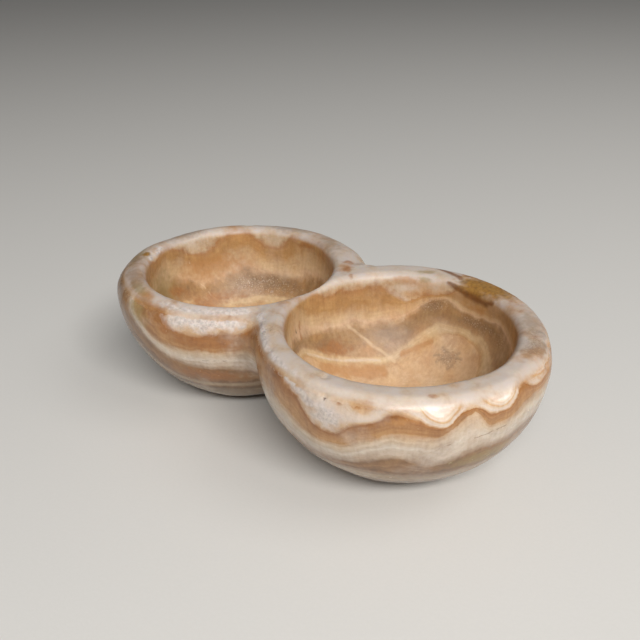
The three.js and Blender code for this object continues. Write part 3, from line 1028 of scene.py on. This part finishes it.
        # Fine layers that run with the beds, and fibres that stand across them
        x, y, z = (node("SeparateXYZ", None, (mm,), axis) for axis in range(3))
        flat_x, flat_y, low_z = (
            node("Math", MULTIPLY, (axis, share)) for axis, share in ((x, 0.06), (y, 0.06), (z, 0.14))
        )
        bed_here = node(
            "Mix", {"data_type": "FLOAT"}, {0: inside, 2: read["side_bed"], 3: read["hollow_bed"]}
        )
        layered = node("Math", ADD_SHARE, (cloudy, 3.0, node("Math", MULTIPLY, (bed_here, self.lamina))))
        along = node("CombineXYZ", None, (flat_x, flat_y, layered))
        streaks = node("TexNoise", None, {"Vector": along, "Scale": 1.0, "Detail": 6.0})
        across = node("CombineXYZ", None, (x, y, low_z))
        fibres = node("TexNoise", None, {"Vector": across, "Scale": 1 / self.fibre, "Detail": 3.0})
        clear = node("MapRange", None, (inside, 0.0, 1.0, *self.layers))
        in_cap = node("MapRange", None, (bed_here, 5.6, 6.4, 1.0, 0.5))
        layers = node("Math", MULTIPLY, (clear, in_cap))
        for pattern, low, high, amount in (
            (streaks, 0.36, 0.66, layers), (clouds, 0.32, 0.7, 0.34), (fibres, 0.3, 0.7, 0.24),
            (mottled, 0.3, 0.7, 0.16), (grain, 0.3, 0.7, 0.12),
        ):
            shade = node("MapRange", None, (pattern, low, high, 0.2, 0.8))
            colour = node("Mix", SOFT_LIGHT, {0: amount, 6: colour, 7: shade}, 2)

        # The worn skin of the rims
        rims = node("MapRange", None, (read["top"], 0.3, 1.0))
        patchy = node("MapRange", None, (clouds, 0.35, 0.6, 0.25, 0.85))
        worn = node("Math", MULTIPLY, (rims, patchy))
        colour = node("Mix", COLOUR, {0: worn, 6: colour, 7: linear(self.wear)}, 2)

        # The marks, with ragged soft edges
        dappled = node("MapRange", None, (mottled, 0.38, 0.7))
        for mark in self.marks:
            strayed = node("Math", ADD_SHARE, (stray, mark.ragged, read[mark.tint.name.lower()]))
            eased = {"interpolation_type": "SMOOTHSTEP"}
            amount = node("MapRange", eased, (strayed, 0.0, mark.soft, 0.0, mark.strength))
            light, dull = (linear(shade) for shade in mark.colours)
            shade = node("Mix", COLOUR, {0: dappled, 6: light, 7: dull}, 2)
            colour = node("Mix", COLOUR, {0: amount, 6: colour, 7: shade}, 2)

        # Loose crystals, dark and pale, and the hair cracks
        spread = node("MapRange", None, (read["speckle"], 0.0, 0.7))
        loose = node("Math", MULTIPLY, (spread, node("MapRange", None, (inside, 0.0, 1.0, *self.loose))))
        for low, high, shade in ((0.55, 0.66, self.grain_dark), (0.42, 0.32, self.grain_pale)):
            amount = node("Math", MULTIPLY, (node("MapRange", None, (grain, low, high)), loose))
            colour = node("Mix", COLOUR, {0: amount, 6: colour, 7: linear(shade)}, 2)
        from_crack = node("Math", ADD_SHARE, (stray, self.crack_wander, read["from_crack"]))
        near = node("Math", {"operation": "ABSOLUTE"}, (from_crack,))
        thin = node("MapRange", None, (near, 0.0, self.crack_half, 1.0, 0.0))
        reach = node("MapRange", None, (read["crack"], 0.0, 0.3, 0.0, 0.7))
        broken = node("Math", MULTIPLY, (reach, node("MapRange", None, (edges, 0.42, 0.52))))
        cracked = node("Math", MULTIPLY, (thin, broken))
        colour = node("Mix", COLOUR, {0: cracked, 6: colour, 7: linear(self.grain_dark)}, 2)

        chalky = node("MapRange", None, (read["chalk"], 0.0, 0.6, 0.0, 0.3))
        polish = node("MapRange", None, (inside, 0.0, 1.0, *self.roughness))
        rubbed = node("Math", ADD_SHARE, (chalky, 1.0, polish))
        relief = node(
            "Bump", None,
            {"Strength": self.tooth, "Distance": self.tooth_depth * MM, "Height": mottled},
        )
        shader = node("BsdfPrincipled", None, {
            "Base Color": colour,
            "Roughness": node("Math", ADD_SHARE, (stray, self.uneven_gloss, rubbed)),
            "IOR": self.ior,
            "Normal": relief,
            "Subsurface Weight": self.glow_weight,
            "Subsurface Radius": self.glow_shares,
            "Subsurface Scale": self.glow_depth * MM,
        })
        node("OutputMaterial", None, {"Surface": shader})
        return made


@dataclass(frozen=True)
class PaintedFloor:
    """Matt pale board, rolled with paint: it shows as one even tone with a very fine tooth."""

    name: str = "matt painted board"
    colours: tuple[str, str] = ("#d5d2cc", "#d9d6d1")
    roughness: float = 0.75
    tooth: float = 0.9  # size of the tooth that the roller left
    tooth_depth: float = 0.1
    tooth_strength: float = 0.2
    half_width: float = 3000.0

    def make(self) -> bpy.types.Object:
        """Lays the floor under the cup.

        Returns:
            The floor.
        """
        mesh = bpy.data.meshes.new("floor")
        w = self.half_width * MM
        mesh.from_pydata([(-w, -w, 0), (w, -w, 0), (w, w, 0), (-w, w, 0)], [], [(0, 1, 2, 3)])
        floor = bpy.data.objects.new("floor", mesh)
        bpy.context.scene.collection.objects.link(floor)
        mesh.materials.append(self.material())
        return floor

    def material(self) -> bpy.types.Material:
        """Makes the board's material.

        Returns:
            The material.
        """
        made = bpy.data.materials.new(self.name)
        made.use_nodes = True
        tree = made.node_tree
        tree.nodes.clear()
        place = add_node(tree, "TexCoord", out="Object")
        tooth = add_node(
            tree, "TexNoise", None, {"Vector": place, "Scale": 1 / (self.tooth * MM), "Detail": 3.0}
        )
        low, high = (linear(shade) for shade in self.colours)
        colour = add_node(tree, "Mix", COLOUR, {0: tooth, 6: low, 7: high}, out=2)
        relief = add_node(
            tree, "Bump", None,
            {"Strength": self.tooth_strength, "Distance": self.tooth_depth * MM, "Height": tooth},
        )
        shader = add_node(
            tree, "BsdfPrincipled", None,
            {"Base Color": colour, "Roughness": self.roughness, "Normal": relief},
        )
        add_node(tree, "OutputMaterial", None, {"Surface": shader})
        return made


@dataclass(frozen=True)
class PhotoCamera:
    """Camera that looks at the cup as the photograph does."""

    heading: float = 42.35  # degrees from +Y, turning towards -X
    dip: float = 27.112  # degrees below level
    roll: float = -1.005
    aim: tuple[float, float, float] = (-41.3, 45.9, 0.0)  # where its middle ray meets the floor
    distance: float = 321.1
    lens: float = 45.0
    sensor: float = 36.0

    def make(self) -> bpy.types.Object:
        """Sets up the camera and makes it the scene's own.

        Returns:
            The camera.
        """
        turn, drop = radians(self.heading), radians(self.dip)
        forward = Vector((-sin(turn) * cos(drop), cos(turn) * cos(drop), -sin(drop)))
        level_right = forward.cross(Vector((0, 0, 1))).normalized()
        level_up = level_right.cross(forward)
        tilt = radians(self.roll)
        right = level_right * cos(tilt) + level_up * sin(tilt)
        up = right.cross(forward)
        place = Vector(self.aim) * MM - forward * self.distance * MM
        data = bpy.data.cameras.new("photo camera")
        data.lens = self.lens
        data.sensor_width = self.sensor
        data.clip_start = 0.01
        camera = bpy.data.objects.new("photo camera", data)
        turned = Matrix((right, up, -forward)).transposed().to_4x4()
        camera.matrix_world = Matrix.Translation(place) @ turned
        bpy.context.scene.collection.objects.link(camera)
        bpy.context.scene.camera = camera
        return camera


@dataclass(frozen=True)
class SoftLamp:
    """A lamp behind a wide diffuser."""

    name: str
    heading: float  # degrees from +X, seen from above
    height: float  # degrees above the floor
    distance: float  # metres
    size: tuple[float, float]  # how wide and how high, in metres
    power: float  # watts
    colour: str = "#ffffff"

    def make(self) -> bpy.types.Object:
        """Hangs the lamp, facing the cup.

        Returns:
            The lamp.
        """
        turn, lift = radians(self.heading), radians(self.height)
        way = Vector((cos(turn) * cos(lift), sin(turn) * cos(lift), sin(lift)))
        data = bpy.data.lights.new(self.name, "AREA")
        data.shape = "RECTANGLE"
        data.size, data.size_y = self.size
        data.energy = self.power
        data.color = linear(self.colour)[:3]
        lamp = bpy.data.objects.new(self.name, data)
        lamp.location = way * self.distance
        lamp.rotation_euler = way.to_track_quat("Z", "Y").to_euler()
        bpy.context.scene.collection.objects.link(lamp)
        return lamp


@dataclass(frozen=True)
class PaleRoom:
    """Pale walls all round, which give back a little even light."""

    colour: str = "#e6e6e6"
    strength: float = 0.16

    def make(self) -> bpy.types.World:
        """Puts the room round the scene.

        Returns:
            The world that holds its light.
        """
        world = bpy.data.worlds.new("pale room")
        world.use_nodes = True
        light = world.node_tree.nodes["Background"].inputs
        light["Color"].default_value = linear(self.colour)
        light["Strength"].default_value = self.strength
        bpy.context.scene.world = world
        return world


def main() -> None:
    """Builds the cup, the floor, the lamps, the room and the camera, and logs all but the room."""
    form = CupForm()
    cup = form.carved(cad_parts[CUP_NODE])
    Strata(form).dress(cup.data)
    cup.data.materials.append(Alabaster().material())
    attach(cup, "root")
    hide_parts(CUP_NODE)
    log.info("cup: %d corners, %d faces", len(cup.data.vertices), len(cup.data.polygons))

    floor = PaintedFloor().make()
    log.info("floor: %.1f m across", 2 * PaintedFloor().half_width * MM)

    lamps = (
        SoftLamp("key lamp", heading=-36, height=42, distance=1.2, size=(0.9, 0.22), power=15.0),
        SoftLamp("side lamp", heading=20, height=55, distance=1.3, size=(0.7, 0.7), power=3.0),
    )
    for lamp in lamps:
        lamp.make()
        log.info("%s: %.1f W", lamp.name, lamp.power)
    PaleRoom().make()
    camera = PhotoCamera().make()
    log.info("%s: %.0f mm lens", camera.name, camera.data.lens)
    bpy.context.scene.view_settings.view_transform = "Standard"


if __name__ == "__main__":
    main()
